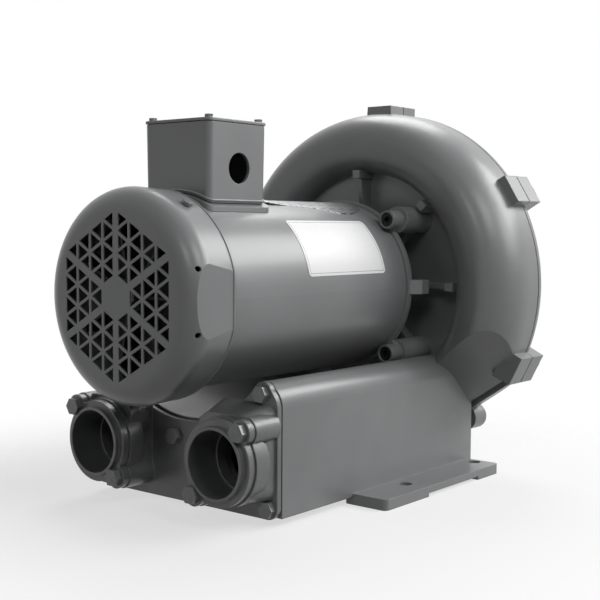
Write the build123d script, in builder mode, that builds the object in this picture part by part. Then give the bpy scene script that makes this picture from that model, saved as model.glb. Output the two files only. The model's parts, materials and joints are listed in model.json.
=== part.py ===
from build123d import *
from math import cos, radians, sin, sqrt
import os

os.makedirs("parts", exist_ok=True)

# Frame: millimetres, +Z up, floor at z = 0. The origin is the centre of the four foot bolts.
# The shaft runs along +Y, from the fan cover at the port end to the blower cover.

# Machine layout
SHAFT_HEIGHT = 190.5
SEAM_Y = 85.0            # joint face between the housing and its cover
SEAM_GASKET_T = 1.4
SEAM_SETBACK = 3.0       # the gasket is set back, so the joint shows as a groove
FIT = 0.1                # gap at a seat between two pieces of the standing body

# Blower housing
HOUSING_R = 179.5
HOUSING_WALL = 5.5
CHANNEL_R = HOUSING_R - 31.5  # middle of the ring channel
CHANNEL_HALF = 26.0      # half its width along the radius
CHANNEL_FRONT = 22.0     # where its front wall starts
BAND_Y = 66.0            # the outer band is straight from here to the seam
INNER_TURN_Y = 40.0
DISH_Y = 46.0
DISH_T = 8.0
LAND_Y = 69.0            # sealing land beside the impeller rim
HUB_R = 46.0
HUB_FRONT = 38.0
HUB_BACK = 56.0
STRIPPER_HALF_ANGLE = 11.0
TIP_GAP = 1.5            # from the impeller's rim to the stripper
RIB_T = 5.0
RIB_COUNT = 8
RIB_FRONT = 27.0
RIB_BLOCK = 8.5
RIB_BLOCK_FRONT = 21.0
BOSS_CIRCLE_R = 94.0     # the four motor bosses
BOSS_R = 13.0
LUG_ANGLES = (90, 31.5, 148.5, -26.5, 206.5)
LUG_WIDTH = 30.0
LUG_REACH = HOUSING_R + 8.5
LUG_LENGTH = 23.0
LUG_DRAFT = 3.0
LUG_BOLT_R = HOUSING_R   # the cover bolts stand on the rim itself
LUG_BOLT_HOLE_R = 4.1

# Lower corners, where the ring is flattened on its way down to the muffler box
CORNER_ANGLES = (-56, -124)
CORNER_REACH = HOUSING_R - 18.5   # from the shaft to the flat
CORNER_BEND_Y = 77.0
CORNER_START_Y = 10.0
CORNER_LEAN = 0.715      # how fast the flat runs outward along the shaft
CORNER_WALL = 7.0
INNER_FLAT_Y = 62.0      # over the box the channel is flattened from here to the seam
COVER_CORNER_REACH = CORNER_REACH + 5
CORNER_BOLT_X = 97.5     # the two cover bolts at the lower corners
CORNER_BOLT_DROP = 140.5
CORNER_BOSS_R = 13.0

# Muffler box under the motor
BOX_HALF = 108.5
BOX_TOP = SHAFT_HEIGHT - 70.7
BOX_BOTTOM = 7.0
BOX_FRONT = -226.0
BOX_BACK = 80.4
BOX_BACK_HALF = 103.5    # the block that carries the box on to the seam is a little narrower
BOX_EDGE_R = 20.0
BOX_WALL = 6.0
BOX_FRONT_WALL = 8.0
BOX_BACK_WALL_Y = 8.0
SADDLE_R = 110.0
DIVIDER_T = 8.0
DUCT_X = 52.0
DUCT_Z = 48.0
DUCT_R = 18.0

# Feet
FOOT_HOLE_X = 122.5
FOOT_HOLE_Y = 63.5
FOOT_HOLE_R = 6.5
FOOT_REACH = 145.0
FOOT_FRONT = -127.0
FOOT_BACK = 74.0
FOOT_TOP = 10.0
FOOT_CORNER_R = 5.0
FOOT_RELIEF = 3.4
FRONT_PAD = 70.0
BACK_PAD = 41.0

# Port manifold
MANIFOLD_T = 5.0
MANIFOLD_GASKET_T = 1.5
MANIFOLD_ARCH_R = SADDLE_R + 2
PORT_X = 74.3
PORT_Z = 55.8
PORT_BORE_R = 28.3       # tapping size of the 2 inch port thread
PASSAGE_R = 27.0         # passage through the manifold behind the collar
PORT_FACE_Y = -262.0     # where the collar's flange sits on the manifold
COLLAR_FACE_Y = -273.6
COLLAR_R = 31.1
COLLAR_FLANGE_R = 36.5
COLLAR_FLANGE_T = 7.5
COLLAR_BACK_Y = -240.0
PORT_BOSS_R = 38.0
PORT_BODY_HALF = 33.0
PORT_BODY_Z0 = 20.0
PORT_BODY_Z1 = 104.0
EAR_X = 26.0             # collar bolts, measured from the port's centre
EAR_Z = 29.0
EAR_R = 11.5
TOP_BOLT_X = 91.7
TOP_BOLT_Z = BOX_TOP - 8.8
LOW_BOLT_X = 99.0
LOW_BOLT_Z = 15.0
MID_BOLT_X = 11.0
MID_BOLT_Z = SHAFT_HEIGHT - 127.5
PLATE_BOTTOM = 6.0
CORNER_LOBE_R = 10.5
PLATE_BOLT_R = 4.0
PLATE_BOLT_ACROSS = 13.0
FLANK_RECESS_Y = -243.0
FLANK_RECESS_Z = 84.0
FLANK_RECESS_DEPTH = 10.0

# Motor
SHELL_R = 83.0
SHELL_T = 3.0
SHELL_FRONT = -258.0
SHELL_BACK = -7.0
END_RING_R = 86.0
EAR_BOLT_FACE = -18.0
STATOR_R = SHELL_R - SHELL_T
STATOR_BORE_R = 46.0
STATOR_FRONT = -195.0
STATOR_BACK = -75.0
WINDING_REACH = 28.0
AIR_GAP = 0.4
ROTOR_RING_T = 9.0

# Shaft and bearings (6203 at the fan, 6205 at the blower)
FAN_SEAT_R = 7.0
FRONT_BEARING_BORE_R = 8.5
FRONT_BEARING_R = 20.0
FRONT_BEARING_W = 12.0
FRONT_BEARING_Y = -250.0
BACK_BEARING_BORE_R = 12.5
BACK_BEARING_R = 26.0
BACK_BEARING_W = 15.0
BACK_BEARING_Y = 2.0
CORE_SHAFT_R = 14.0
DRIVE_SHAFT_R = 11.1
SHAFT_FRONT = -296.0
SHAFT_BACK = 92.0
SHAFT_FIT = 0.05

# Fan and fan cover
FAN_R = 78.0
FAN_FRONT = -297.0
FAN_BACK = -272.0
FAN_BLADES = 7
COVER_R = 92.0
COVER_FACE_Y = -311.3
COVER_EDGE_R = 20.0
COVER_REAR_R = 90.0
COVER_REAR_Y = -262.0
COVER_T = 1.5
COVER_FLAT_X = 87.0
GRILLE_SIDE_R = 62.4     # from the shaft to a flat side of the hexagonal grille
GRILLE_ROWS = 4
GRILLE_THIN_BAR = 2.6
GRILLE_THICK_BAR = 6.6
COVER_SCREW_ANGLES = (57, 123, 270)
COVER_SCREW_Y = -279.0
COVER_EAR_GAP = 0.3      # between the end bell's ears and the inside of the cover

# Conduit box on top of the motor
CONDUIT_BOX_X = 38.5
CONDUIT_BOX_Y0 = -240.9
CONDUIT_BOX_Y1 = -168.6
CONDUIT_LID_Z = 338.4
CONDUIT_LID_T = 2.6
CONDUIT_WALL = 3.0
CONDUIT_HOLE_Y = -203.6
CONDUIT_HOLE_Z = 299.9
CONDUIT_HOLE_R = 13.4
CONDUIT_FLANGE_T = 4.0
CONDUIT_CORNER_R = 5.0

# Impeller
IMPELLER_R = CHANNEL_R + 4
IMPELLER_BLADES = 36
BLADE_T = 3.0
RIM_OUTER_R = CHANNEL_R - CHANNEL_HALF
RIM_INNER_R = RIM_OUTER_R - 6
IMPELLER_MID = 82.0
IMPELLER_HALF = 12.4
WEB_T = 6.0

# Blower cover
COVER_DISH_Y = 95.0
COVER_WALL = 5.0
COVER_LUG_LENGTH = 22.0

# Profiles turned about the shaft lie in this plane: local x is the radius, local y runs along the shaft
turning = Plane(origin=(0, 0, SHAFT_HEIGHT), x_dir=(1, 0, 0), z_dir=(0, 0, 1))
shaft_axis = Axis((0, 0, SHAFT_HEIGHT), (0, 1, 0))


# A plane square to the shaft that faces the port end: local x is +X, local y is +Z
def facing(y, z=SHAFT_HEIGHT):
    return Plane(origin=(0, y, z), x_dir=(1, 0, 0), z_dir=(0, -1, 0))


# The plane that holds the shaft and a radius at this angle above +X
def radial_plane(angle):
    out = (cos(radians(angle)), 0, sin(radians(angle)))
    square = (-sin(radians(angle)), 0, cos(radians(angle)))
    return Plane(origin=(0, 0, SHAFT_HEIGHT), x_dir=out, z_dir=square)


# The plane that looks along a radius from outside: local y runs along the shaft
def outside_plane(angle, reach):
    out = (cos(radians(angle)), 0, sin(radians(angle)))
    start = (reach * out[0], 0, SHAFT_HEIGHT + reach * out[2])
    return Plane(origin=start, x_dir=(0, 1, 0), z_dir=out)


# A closed face of straight runs, for a part turned about the shaft
def turned_face(*points, plane=turning):
    with BuildSketch(plane) as face:
        with BuildLine():
            Polyline(*points, close=True)
        make_face()
    return face.sketch


# A washer-shaped face for rings and sleeves
def ring_face(inner, outer, front, back):
    return turned_face((inner, front), (outer, front), (outer, back), (inner, back))


# The same face at another angle, where part of a ring starts
def ring_arc(inner, outer, front, back, angle):
    return turned_face((inner, front), (outer, front), (outer, back), (inner, back), plane=radial_plane(angle))


def save(piece, name):
    piece.part.label = name
    export_step(piece.part, f"parts/{name}.step")


boss_angles = [45, 135, 225, 315]
plate_bolts = [
    (-TOP_BOLT_X, TOP_BOLT_Z), (TOP_BOLT_X, TOP_BOLT_Z), (-LOW_BOLT_X, LOW_BOLT_Z), (LOW_BOLT_X, LOW_BOLT_Z),
    (-MID_BOLT_X, MID_BOLT_Z),
]
# Cover bolts, measured from the shaft: one in each lug and one in each lower corner
cover_spots = [(LUG_BOLT_R * cos(radians(angle)), LUG_BOLT_R * sin(radians(angle))) for angle in LUG_ANGLES]
corner_spots = [(side * CORNER_BOLT_X, -CORNER_BOLT_DROP) for side in (-1, 1)]


# Outline of the housing, from the shaft to the seam
def housing_outline():
    with BuildSketch(turning) as face:
        with BuildLine():
            Line((0, DISH_Y), (CHANNEL_R - CHANNEL_HALF - 6, DISH_Y))
            Line((CHANNEL_R - CHANNEL_HALF - 6, DISH_Y), (CHANNEL_R - CHANNEL_HALF - 6, INNER_TURN_Y))
            inner_half = CHANNEL_HALF + 6
            dome_front = CHANNEL_FRONT - 6
            EllipticalCenterArc(
                (CHANNEL_R, INNER_TURN_Y), inner_half, INNER_TURN_Y - dome_front,
                start_angle=180, arc_size=90,
            )
            EllipticalCenterArc(
                (CHANNEL_R, BAND_Y), HOUSING_R - CHANNEL_R, BAND_Y - dome_front,
                start_angle=270, arc_size=90,
            )
            Line((HOUSING_R, BAND_Y), (HOUSING_R, SEAM_Y))
            Line((HOUSING_R, SEAM_Y), (0, SEAM_Y))
            Line((0, SEAM_Y), (0, DISH_Y))
        make_face()
    return face.sketch


# Outline of the space inside: the ring channel and the room behind the dish
def housing_space():
    inner = CHANNEL_R - CHANNEL_HALF
    outer = HOUSING_R - HOUSING_WALL
    dish_back = DISH_Y + DISH_T
    turn = DISH_Y
    with BuildSketch(turning) as face:
        with BuildLine():
            Polyline((0, SEAM_Y), (0, dish_back), (inner - 6, dish_back), (inner - 6, LAND_Y), (inner, LAND_Y),
                     (inner, turn))
            EllipticalCenterArc(
                (CHANNEL_R, turn), CHANNEL_HALF, turn - CHANNEL_FRONT, start_angle=180, arc_size=90
            )
            EllipticalCenterArc(
                (CHANNEL_R, BAND_Y), outer - CHANNEL_R, BAND_Y - CHANNEL_FRONT, start_angle=270, arc_size=90
            )
            Polyline((outer, BAND_Y), (outer, SEAM_Y), (0, SEAM_Y))
        make_face()
    return face.sketch


# Cross-section of the muffler box, with the hollow under the motor; wall 0 gives the outside
def box_section(y, wall=0):
    with BuildSketch(facing(y, 0)) as face:
        width = 2 * (BOX_HALF - wall)
        height = BOX_TOP - BOX_BOTTOM - 2 * wall
        with Locations((0, (BOX_TOP + BOX_BOTTOM) / 2)):
            Rectangle(width, height)
        fillet(face.vertices().group_by(Axis.Y)[-1], BOX_EDGE_R - wall)
        with Locations((0, SHAFT_HEIGHT)):
            Circle(SADDLE_R + wall, mode=Mode.SUBTRACT)
    return face.sketch


# What the leaning flat takes off the ring at a lower corner; inset leaves a wall
def leaning_corner(angle, inset):
    start = CORNER_REACH - (CORNER_BEND_Y - CORNER_START_Y) * CORNER_LEAN - inset
    with BuildPart() as corner:
        with BuildSketch(radial_plane(angle)):
            with BuildLine():
                Polyline((start, CORNER_START_Y), (CORNER_REACH - inset, CORNER_BEND_Y), (CORNER_REACH - inset, SEAM_Y),
                         (2 * HOUSING_R, SEAM_Y), (2 * HOUSING_R, CORNER_START_Y), close=True)
            make_face()
        extrude(amount=HOUSING_R, both=True)
    return corner.part


# The rim as seen along the shaft: a circle with a flat at each lower corner
def rim_outline(y, radius, reach):
    with BuildSketch(facing(y)) as outline:
        Circle(radius)
        for angle in CORNER_ANGLES:
            with PolarLocations(reach + HOUSING_R, 1, start_angle=angle):
                Rectangle(2 * HOUSING_R, 2 * HOUSING_R, mode=Mode.SUBTRACT)
    return outline.sketch


# The ring channel and the room behind the dish, kept inside the flats of the lower corners
with BuildPart() as housing_room:
    revolve(housing_space(), axis=shaft_axis)
    for angle in CORNER_ANGLES:
        add(leaning_corner(angle, CORNER_WALL), mode=Mode.SUBTRACT)
with BuildPart() as room_over_box:
    revolve(housing_space(), axis=shaft_axis)
    with BuildSketch(facing(SEAM_Y)):
        Rectangle(2 * (BOX_BACK_HALF - 1), 3 * HOUSING_R)
    extrude(amount=SEAM_Y, mode=Mode.INTERSECT)
    for angle in CORNER_ANGLES:
        with BuildSketch(facing(SEAM_Y)):
            with PolarLocations(CORNER_REACH - CORNER_WALL + HOUSING_R, 1, start_angle=angle):
                Rectangle(2 * HOUSING_R, 2 * HOUSING_R)
        extrude(amount=SEAM_Y - INNER_FLAT_Y, mode=Mode.SUBTRACT)

# Blower housing with the muffler box, feet, ribs and bosses in one casting
with BuildPart() as blower_housing:
    revolve(housing_outline(), axis=shaft_axis)
    for angle in CORNER_ANGLES:
        add(leaning_corner(angle, 0), mode=Mode.SUBTRACT)
    extrude(box_section(BOX_BACK), amount=BOX_BACK - BOX_FRONT)
    with BuildSketch(facing(SEAM_Y, 0)):
        with Locations((0, (BOX_TOP + BOX_BOTTOM) / 2)):
            Rectangle(2 * BOX_BACK_HALF, BOX_TOP - BOX_BOTTOM)
    extrude(amount=SEAM_Y - BOX_BACK + 1)
    with BuildSketch(Plane.XY):
        for side in (-1, 1):
            with Locations((side * (BOX_HALF - 10 + FOOT_REACH) / 2, (FOOT_FRONT + FOOT_BACK) / 2)):
                RectangleRounded(FOOT_REACH - BOX_HALF + 10, FOOT_BACK - FOOT_FRONT, FOOT_CORNER_R)
    extrude(amount=FOOT_TOP)
    with BuildSketch(Plane.XY):
        relief_front = FOOT_FRONT + FRONT_PAD
        relief_back = FOOT_BACK - BACK_PAD
        with Locations((0, (relief_front + relief_back) / 2)):
            Rectangle(2 * FOOT_REACH, relief_back - relief_front)
    extrude(amount=FOOT_RELIEF, mode=Mode.SUBTRACT)
    for angle in LUG_ANGLES:
        with BuildSketch(outside_plane(angle, LUG_REACH)):
            with Locations((SEAM_Y - LUG_LENGTH / 2, 0)):
                Rectangle(LUG_LENGTH, LUG_WIDTH)
        extrude(amount=-(LUG_REACH - HOUSING_R + 12), taper=-LUG_DRAFT)
    with BuildSketch(facing(SEAM_Y)):
        Rectangle(3 * HOUSING_R, 3 * HOUSING_R)
    extrude(amount=-LUG_LENGTH, mode=Mode.SUBTRACT)
    add(housing_room.part, mode=Mode.SUBTRACT)
    add(room_over_box.part, mode=Mode.SUBTRACT)
    revolve(ring_face(0, HUB_R, HUB_FRONT, HUB_BACK), axis=shaft_axis)
    # The stripper fills the channel between the two ducts
    revolve(
        turned_face(
            (CHANNEL_R - CHANNEL_HALF - 1, CHANNEL_FRONT - 3), (HOUSING_R - 3, CHANNEL_FRONT - 3),
            (HOUSING_R - 3, LAND_Y), (CHANNEL_R - CHANNEL_HALF - 1, LAND_Y),
            plane=radial_plane(-90 + STRIPPER_HALF_ANGLE),
        ),
        axis=shaft_axis,
        revolution_arc=2 * STRIPPER_HALF_ANGLE,
    )
    revolve(
        ring_arc(IMPELLER_R + TIP_GAP, HOUSING_R - 3, LAND_Y - 1, SEAM_Y, -90 + STRIPPER_HALF_ANGLE),
        axis=shaft_axis,
        revolution_arc=2 * STRIPPER_HALF_ANGLE,
    )
    # Muffler chambers, one for each port, and the holes that join them to the channel
    with BuildSketch(facing(BOX_BACK_WALL_Y, 0)):
        add(box_section(BOX_BACK_WALL_Y, BOX_WALL))
        with Locations((0, BOX_TOP / 2)):
            Rectangle(DIVIDER_T, BOX_TOP, mode=Mode.SUBTRACT)
    extrude(amount=BOX_BACK_WALL_Y - BOX_FRONT - BOX_FRONT_WALL, mode=Mode.SUBTRACT)
    with BuildSketch(facing(BOX_FRONT + BOX_FRONT_WALL + 1, 0)):
        with Locations((-PORT_X, PORT_Z), (PORT_X, PORT_Z)):
            Circle(PORT_BORE_R + 2)
    extrude(amount=BOX_FRONT_WALL + 2, mode=Mode.SUBTRACT)
    with BuildSketch(facing(CHANNEL_FRONT + 12, 0)):
        with Locations((-DUCT_X, DUCT_Z), (DUCT_X, DUCT_Z)):
            Circle(DUCT_R)
    extrude(amount=CHANNEL_FRONT + 12 - BOX_BACK_WALL_Y + 1, mode=Mode.SUBTRACT)
    # Bosses for the motor, ribs across the dish and a block at the end of each rib
    with BuildSketch(facing(DISH_Y)):
        with PolarLocations(BOSS_CIRCLE_R, len(boss_angles), start_angle=boss_angles[0]):
            Circle(BOSS_R)
    extrude(amount=DISH_Y)
    for step in range(RIB_COUNT):
        angle = 360 / RIB_COUNT * step
        rim = CHANNEL_R - CHANNEL_HALF - 6
        with BuildSketch(radial_plane(angle)):
            with BuildLine():
                Polyline((HUB_R - 2, HUB_FRONT), (rim - RIB_BLOCK, RIB_FRONT), (rim + 2, RIB_FRONT),
                         (rim + 2, DISH_Y + 1), (HUB_R - 2, DISH_Y + 1), close=True)
            make_face()
        extrude(amount=RIB_T / 2, both=True)
        with BuildSketch(radial_plane(angle)):
            with Locations((rim - 2, (RIB_BLOCK_FRONT + DISH_Y) / 2)):
                Rectangle(RIB_BLOCK, DISH_Y - RIB_BLOCK_FRONT)
        extrude(amount=RIB_BLOCK / 2, both=True)
    # Bores
    with BuildSketch(facing(HUB_FRONT)):
        Circle(DRIVE_SHAFT_R + 2)
    extrude(amount=-(HUB_BACK - HUB_FRONT), mode=Mode.SUBTRACT)
    with BuildSketch(facing(HUB_FRONT)):
        Circle(18)
    extrude(amount=-8, mode=Mode.SUBTRACT)
    with BuildSketch(facing(0)):
        with PolarLocations(BOSS_CIRCLE_R, len(boss_angles), start_angle=boss_angles[0]):
            Circle(4 + SHAFT_FIT)
    extrude(amount=-30, mode=Mode.SUBTRACT)
    with BuildSketch(facing(SEAM_Y)):
        with Locations(cover_spots + corner_spots):
            Circle(LUG_BOLT_HOLE_R)
    extrude(amount=LUG_LENGTH - 6, mode=Mode.SUBTRACT)
    with BuildSketch(facing(BOX_FRONT + BOX_FRONT_WALL - 1, 0)):
        with Locations(plate_bolts):
            Circle(PLATE_BOLT_R + SHAFT_FIT)
    extrude(amount=BOX_FRONT_WALL, mode=Mode.SUBTRACT)
    with BuildSketch(Plane.XY):
        with GridLocations(2 * FOOT_HOLE_X, 2 * FOOT_HOLE_Y, 2, 2):
            Circle(FOOT_HOLE_R)
    extrude(amount=FOOT_TOP, mode=Mode.SUBTRACT)
save(blower_housing, "blower_housing")

# Thin gasket in the seam
with BuildPart() as seam_gasket:
    extrude(rim_outline(SEAM_Y, HOUSING_R - SEAM_SETBACK, CORNER_REACH - SEAM_SETBACK), amount=-SEAM_GASKET_T)
    extrude(
        rim_outline(SEAM_Y, HOUSING_R - HOUSING_WALL, CORNER_REACH - CORNER_WALL),
        amount=-SEAM_GASKET_T, mode=Mode.SUBTRACT,
    )
    with BuildSketch(facing(SEAM_Y)):
        with Locations(cover_spots):
            Circle(LUG_BOLT_HOLE_R)
    extrude(amount=-SEAM_GASKET_T, mode=Mode.SUBTRACT)
save(seam_gasket, "seam_gasket")

cover_front = SEAM_Y + SEAM_GASKET_T
channel_in = CHANNEL_R - CHANNEL_HALF
channel_out = HOUSING_R - HOUSING_WALL
cover_back = COVER_DISH_Y + COVER_WALL

# Blower cover: the other, shallower half of the channel, with a boss that clears the impeller bolt
COVER_RIDGE_Y = 114.0
COVER_RIM_FILLET = 11.0
COVER_RIDGE_FILLET = 9.0
rim_back = SEAM_Y + 15
ridge_foot_r = HOUSING_R - 15.5
ridge_outer_r = CHANNEL_R + 7
ridge_inner_r = CHANNEL_R - 17
COVER_HUB_R = 32.0
COVER_HUB_Y = 110.0
with BuildPart() as cover_shell:
    with BuildSketch(turning) as cover_outline:
        with BuildLine():
            Polyline((0, cover_front), (HOUSING_R, cover_front), (HOUSING_R, rim_back), (ridge_foot_r, rim_back),
                     (ridge_outer_r, COVER_RIDGE_Y), (ridge_inner_r, COVER_RIDGE_Y), (RIM_INNER_R, cover_back),
                     (COVER_HUB_R, cover_back), (COVER_HUB_R - 4, COVER_HUB_Y), (0, COVER_HUB_Y), close=True)
        make_face()
        corners = cover_outline.vertices().group_by(Axis.X)
        fillet(corners[-1].sort_by(Axis.Y)[-1], COVER_RIM_FILLET)
        fillet(cover_outline.vertices().group_by(Axis.Y)[-1], COVER_RIDGE_FILLET)
    revolve(axis=shaft_axis)
    extrude(rim_outline(cover_front, HOUSING_R + 1, COVER_CORNER_REACH), amount=-60, mode=Mode.INTERSECT)
    for angle in LUG_ANGLES:
        with BuildSketch(outside_plane(angle, LUG_REACH)):
            with Locations((cover_front + COVER_LUG_LENGTH / 2, 0)):
                Rectangle(COVER_LUG_LENGTH, LUG_WIDTH)
        extrude(amount=-(LUG_REACH - HOUSING_R + 14))
    with BuildSketch(facing(cover_front)):
        with Locations(corner_spots):
            Circle(CORNER_BOSS_R)
    extrude(amount=-COVER_LUG_LENGTH)
    for step in range(RIB_COUNT):
        with BuildSketch(radial_plane(360 / RIB_COUNT * step)):
            with BuildLine():
                Polyline((COVER_HUB_R - 3, cover_back - 1), (COVER_HUB_R - 3, cover_back + 6),
                         (ridge_inner_r + 3, COVER_RIDGE_Y - 2), (ridge_inner_r + 3, cover_back - 1), close=True)
            make_face()
        extrude(amount=RIB_T / 2, both=True)
with BuildPart() as cover_room:
    with BuildSketch(turning):
        with BuildLine():
            Polyline((0, cover_front), (channel_out, cover_front), (channel_out, cover_front + 5.5),
                     (ridge_foot_r + 2, SEAM_Y + 11), (ridge_outer_r + 2, SEAM_Y + 12),
                     (ridge_outer_r - 4, COVER_RIDGE_Y - COVER_WALL), (ridge_inner_r + 3, COVER_RIDGE_Y - COVER_WALL),
                     (channel_in, COVER_DISH_Y), (26, COVER_DISH_Y), (26, COVER_HUB_Y - COVER_WALL),
                     (0, COVER_HUB_Y - COVER_WALL), close=True)
        make_face()
    revolve(axis=shaft_axis)
    extrude(rim_outline(cover_front, HOUSING_R, CORNER_REACH - CORNER_WALL), amount=-60, mode=Mode.INTERSECT)
with BuildPart() as blower_cover:
    add(cover_shell.part)
    add(cover_room.part, mode=Mode.SUBTRACT)
    revolve(
        ring_arc(IMPELLER_R + TIP_GAP, channel_out, cover_front, rim_back - 2, -90 + STRIPPER_HALF_ANGLE),
        axis=shaft_axis,
        revolution_arc=2 * STRIPPER_HALF_ANGLE,
    )
    with BuildSketch(facing(cover_front)):
        with Locations(cover_spots + corner_spots):
            Circle(LUG_BOLT_HOLE_R)
    extrude(amount=-40, mode=Mode.SUBTRACT)
save(blower_cover, "blower_cover")


# A hexagon-head bolt that points along -Y from its seat; the shank starts at the seat
def hex_bolt(x, z, seat_y, radius, length, across, head):
    with BuildPart() as bolt:
        with BuildSketch(facing(seat_y + head, 0)):
            with Locations((x, z)):
                RegularPolygon(across / 2, 6, major_radius=False)
        extrude(amount=head)
        with BuildSketch(facing(seat_y, 0)):
            with Locations((x, z)):
                Circle(radius)
        extrude(amount=length)
    return bolt.part


# The same bolt turned round, so that its head faces the port end
def hex_bolt_front(x, z, seat_y, radius, length, across, head):
    with BuildPart() as bolt:
        with BuildSketch(facing(seat_y, 0)):
            with Locations((x, z)):
                RegularPolygon(across / 2, 6, major_radius=False)
        extrude(amount=head)
        with BuildSketch(facing(seat_y, 0)):
            with Locations((x, z)):
                Circle(radius)
        extrude(amount=-length)
    return bolt.part


lug_back = cover_front + COVER_LUG_LENGTH
with BuildPart() as cover_bolts:
    for x, drop in cover_spots + corner_spots:
        add(hex_bolt(x, SHAFT_HEIGHT + drop, lug_back, 4.0, COVER_LUG_LENGTH + 14, 13, 5.5))
save(cover_bolts, "cover_bolts")

# Impeller: hub, web, rim and a ring of blades on each side of a thin wheel
impeller_front = IMPELLER_MID - IMPELLER_HALF
impeller_back = IMPELLER_MID + IMPELLER_HALF
with BuildPart() as impeller:
    revolve(
        turned_face(
            (DRIVE_SHAFT_R, HUB_BACK + 2), (24, HUB_BACK + 2), (26, IMPELLER_MID - WEB_T / 2),
            (RIM_INNER_R + 0.5, IMPELLER_MID - WEB_T / 2), (RIM_INNER_R + 0.5, impeller_front),
            (RIM_OUTER_R, impeller_front), (RIM_OUTER_R + 6, IMPELLER_MID - 2), (IMPELLER_R, IMPELLER_MID - 1.2),
            (IMPELLER_R, IMPELLER_MID + 1.2), (RIM_OUTER_R + 6, IMPELLER_MID + 2), (RIM_OUTER_R, impeller_back),
            (RIM_INNER_R + 0.5, impeller_back), (RIM_INNER_R + 0.5, IMPELLER_MID + WEB_T / 2),
            (26, IMPELLER_MID + WEB_T / 2), (24, SHAFT_BACK), (DRIVE_SHAFT_R, SHAFT_BACK),
        ),
        axis=shaft_axis,
    )
    for step in range(IMPELLER_BLADES):
        with BuildSketch(radial_plane(360 / IMPELLER_BLADES * step)):
            with BuildLine():
                Polyline((RIM_OUTER_R - 2, impeller_front), (IMPELLER_R - 7, impeller_front),
                         (IMPELLER_R, impeller_front + 6), (IMPELLER_R, impeller_back - 6),
                         (IMPELLER_R - 7, impeller_back), (RIM_OUTER_R - 2, impeller_back), close=True)
            make_face()
        extrude(amount=BLADE_T / 2, both=True)
    with BuildSketch(facing(HUB_BACK)):
        with Locations((DRIVE_SHAFT_R, 0)):
            Rectangle(5.5, 6.4)
    extrude(amount=-(SHAFT_BACK - HUB_BACK + 2), mode=Mode.SUBTRACT)
save(impeller, "impeller")

# Stepped shaft with a keyway for the impeller
KEY_WIDTH = 6.4
KEY_DEPTH = 3.2
KEY_FRONT = 62.0
with BuildPart() as shaft:
    front_seat = FRONT_BEARING_Y - FRONT_BEARING_W / 2
    back_seat = BACK_BEARING_Y + BACK_BEARING_W / 2
    revolve(
        turned_face(
            (0, SHAFT_FRONT), (FAN_SEAT_R, SHAFT_FRONT), (FAN_SEAT_R, front_seat),
            (FRONT_BEARING_BORE_R, front_seat), (FRONT_BEARING_BORE_R, front_seat + FRONT_BEARING_W),
            (CORE_SHAFT_R, front_seat + FRONT_BEARING_W), (CORE_SHAFT_R, BACK_BEARING_Y - BACK_BEARING_W / 2),
            (BACK_BEARING_BORE_R, BACK_BEARING_Y - BACK_BEARING_W / 2), (BACK_BEARING_BORE_R, back_seat + 6),
            (DRIVE_SHAFT_R, back_seat + 6), (DRIVE_SHAFT_R, SHAFT_BACK), (0, SHAFT_BACK),
        ),
        axis=shaft_axis,
    )
    with BuildSketch(facing(KEY_FRONT)):
        with Locations((DRIVE_SHAFT_R, 0)):
            Rectangle(2 * KEY_DEPTH, KEY_WIDTH)
    extrude(amount=-(SHAFT_BACK - KEY_FRONT), mode=Mode.SUBTRACT)
    with BuildSketch(facing(SHAFT_BACK)):
        Circle(4.0)
    extrude(amount=24, mode=Mode.SUBTRACT)
save(shaft, "shaft")

with BuildPart() as impeller_key:
    with BuildSketch(facing(KEY_FRONT)):
        with Locations((DRIVE_SHAFT_R - KEY_DEPTH / 2 + 1.3, 0)):
            Rectangle(KEY_DEPTH + 2.6, KEY_WIDTH)
    extrude(amount=-(SHAFT_BACK - KEY_FRONT))
save(impeller_key, "impeller_key")

with BuildPart() as impeller_washer:
    revolve(ring_face(4.0 + FIT, 18, SHAFT_BACK, SHAFT_BACK + 3), axis=shaft_axis)
save(impeller_washer, "impeller_washer")

with BuildPart() as impeller_bolt:
    add(hex_bolt(0, SHAFT_HEIGHT, SHAFT_BACK + 3, 4.0, 24, 13, 5.5))
save(impeller_bolt, "impeller_bolt")

# Stack of laminations and the end rings of the squirrel cage
rotor_r = STATOR_BORE_R - AIR_GAP
with BuildPart() as rotor_core:
    revolve(
        turned_face(
            (CORE_SHAFT_R, STATOR_FRONT), (rotor_r, STATOR_FRONT), (rotor_r, STATOR_BACK), (CORE_SHAFT_R, STATOR_BACK)
        ),
        axis=shaft_axis,
    )
save(rotor_core, "rotor_core")

with BuildPart() as rotor_end_rings:
    for front in (STATOR_FRONT - ROTOR_RING_T, STATOR_BACK):
        revolve(ring_face(rotor_r - 14, rotor_r - 1, front, front + ROTOR_RING_T), axis=shaft_axis)
save(rotor_end_rings, "rotor_end_rings")

# Stator laminations with slots toward the rotor, and the winding ends at both faces
STATOR_SLOTS = 24
with BuildPart() as stator_core:
    with BuildSketch(facing(STATOR_BACK)):
        Circle(STATOR_R - FIT)
        Circle(STATOR_BORE_R, mode=Mode.SUBTRACT)
        with PolarLocations(STATOR_BORE_R + 10, STATOR_SLOTS):
            Rectangle(16, 6, mode=Mode.SUBTRACT)
    extrude(amount=STATOR_BACK - STATOR_FRONT)
save(stator_core, "stator_core")

with BuildPart() as stator_windings:
    for start, turn in ((STATOR_FRONT, -1), (STATOR_BACK, 1)):
        revolve(
            turned_face(
                (STATOR_BORE_R + 4, start), (STATOR_BORE_R + 18, start), (STATOR_BORE_R + 22, start + turn * 8),
                (STATOR_BORE_R + 20, start + turn * WINDING_REACH), (STATOR_BORE_R + 6, start + turn * WINDING_REACH),
            ),
            axis=shaft_axis,
        )
save(stator_windings, "stator_windings")

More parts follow.
